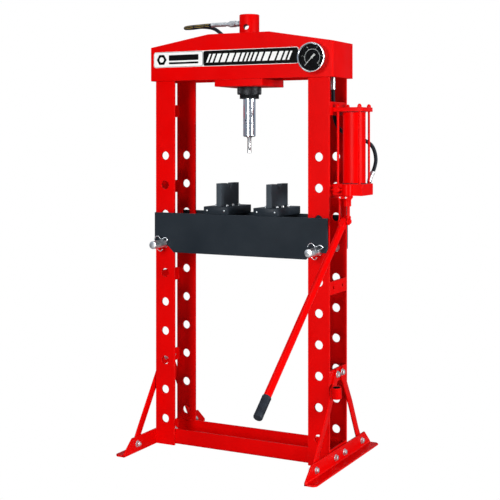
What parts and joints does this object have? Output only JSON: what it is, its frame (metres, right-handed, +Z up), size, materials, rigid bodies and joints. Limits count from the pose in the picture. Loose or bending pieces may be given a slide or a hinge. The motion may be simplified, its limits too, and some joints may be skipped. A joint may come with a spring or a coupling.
{
  "type": "hydraulic shop press",
  "caption": "Floor-standing H-frame shop press with a hydraulic ram, hand pump and lever, pressure gauge, height-adjustable pinned bed and V-blocks.",
  "frame": {"origin": "on the ram's axis, half way between the front and rear bars of the posts, at the underside of the base channel, 5.5 mm above the floor", "axes": "+Z up along the ram's axis, +X to the operator's right, +Y away from the operator"},
  "size_m": [0.827, 1.0023, 1.5387],
  "materials": {
    "red_paint": "gloss paint on steel",
    "dark_paint": "satin dark grey paint on steel",
    "chrome": "polished",
    "zinc": "zinc plated",
    "black_steel": "blackened steel",
    "rubber": "matt",
    "dial_black": "matt black dial",
    "pointer_white": "matt white",
    "lens": "clear"
  },
  "bodies": {
    "frame": {"upright_front_left": "red_paint", "upright_front_right": "red_paint", "upright_rear_left": "red_paint", "upright_rear_right": "red_paint", "tie_left_1": "red_paint", "tie_left_2": "red_paint", "tie_left_3": "red_paint", "tie_left_4": "red_paint", "tie_right_1": "red_paint", "tie_right_2": "red_paint", "tie_right_3": "red_paint", "tie_right_4": "red_paint", "base_channel": "red_paint", "foot_left": "red_paint", "foot_right": "red_paint", "brace_front_left": "red_paint", "brace_rear_left": "red_paint", "brace_front_right": "red_paint", "brace_rear_right": "red_paint", "handle_holder": "red_paint", "head_front_plate": "red_paint", "head_rear_plate": "red_paint", "ram_mount_plate": "red_paint", "ram_cylinder": "black_steel", "ram_end_cap": "red_paint", "ram_lock_ring": "black_steel", "ram_coupler": "chrome", "ram_hose": "rubber", "gauge_case": "chrome", "gauge_dial": "dial_black", "gauge_lens": "lens", "gauge_manifold": "zinc", "pump_block": "red_paint", "pump_top_plate": "red_paint", "pump_reservoir": "red_paint", "pump_tie_rod_1": "red_paint", "pump_tie_rod_2": "red_paint", "pump_tie_rod_3": "red_paint", "pump_tie_rod_4": "red_paint", "lever_bracket": "red_paint", "lever_pin": "zinc", "pump_hose": "rubber"},
    "ram": {"piston_rod": "chrome", "ram_nose": "chrome"},
    "pointer": {"gauge_pointer": "pointer_white"},
    "bed": {"bed_front_plate": "dark_paint", "bed_rear_plate": "dark_paint", "bed_spacer_left": "dark_paint", "bed_spacer_right": "dark_paint"},
    "left_v_block": {"v_block_left": "dark_paint"},
    "right_v_block": {"v_block_right": "dark_paint"},
    "left_bed_pin": {"bed_pin_left": "zinc", "pin_clip_left": "zinc"},
    "right_bed_pin": {"bed_pin_right": "zinc", "pin_clip_right": "zinc"},
    "lever": {"pump_lever": "red_paint"},
    "handle": {"pump_handle": "red_paint", "handle_grip": "rubber"},
    "plunger": {"pump_plunger": "chrome"},
    "release_valve": {"release_valve": "red_paint"}
  },
  "joints": [
    {"name": "ram_slide", "type": "slide", "parent": "frame", "child": "ram", "axis": [0, 0, -1], "range_m": [0, 0.15]},
    {"name": "pointer_turn", "type": "hinge", "parent": "frame", "child": "pointer", "pos_m": [0.292, -0.112, 1.3665], "axis": [0, 1, 0], "range_deg": [0, 270]},
    {"name": "bed_slide", "type": "slide", "parent": "frame", "child": "bed", "axis": [0, 0, 1], "range_m": [0, 0.21]},
    {"name": "left_v_block_slide", "type": "slide", "parent": "bed", "child": "left_v_block", "axis": [1, 0, 0], "range_m": [-0.1, 0.012]},
    {"name": "right_v_block_slide", "type": "slide", "parent": "bed", "child": "right_v_block", "axis": [1, 0, 0], "range_m": [-0.03, 0.09]},
    {"name": "left_pin_slide", "type": "slide", "parent": "frame", "child": "left_bed_pin", "axis": [0, -1, 0], "range_m": [0, 0.24]},
    {"name": "right_pin_slide", "type": "slide", "parent": "frame", "child": "right_bed_pin", "axis": [0, -1, 0], "range_m": [0, 0.24]},
    {"name": "lever_swing", "type": "hinge", "parent": "frame", "child": "lever", "pos_m": [0.395, -0.08, 0.8225], "axis": [-1, 0, 0], "range_deg": [-10, 60]},
    {"name": "handle_slide", "type": "slide", "parent": "lever", "child": "handle", "axis": [0, -0.7793, -0.6266], "range_m": [0, 0.12]},
    {"name": "plunger_slide", "type": "slide", "parent": "frame", "child": "plunger", "axis": [0, 0, 1], "range_m": [-0.031, 0.006]},
    {"name": "valve_turn", "type": "hinge", "parent": "frame", "child": "release_valve", "pos_m": [0.364, -0.06, 0.9255], "axis": [0, -1, 0], "range_deg": [0, 360]}
  ],
  "couplings": [
    {"joint": "plunger_slide", "follows": "lever_swing", "m_per_rad": -0.0264}
  ]
}
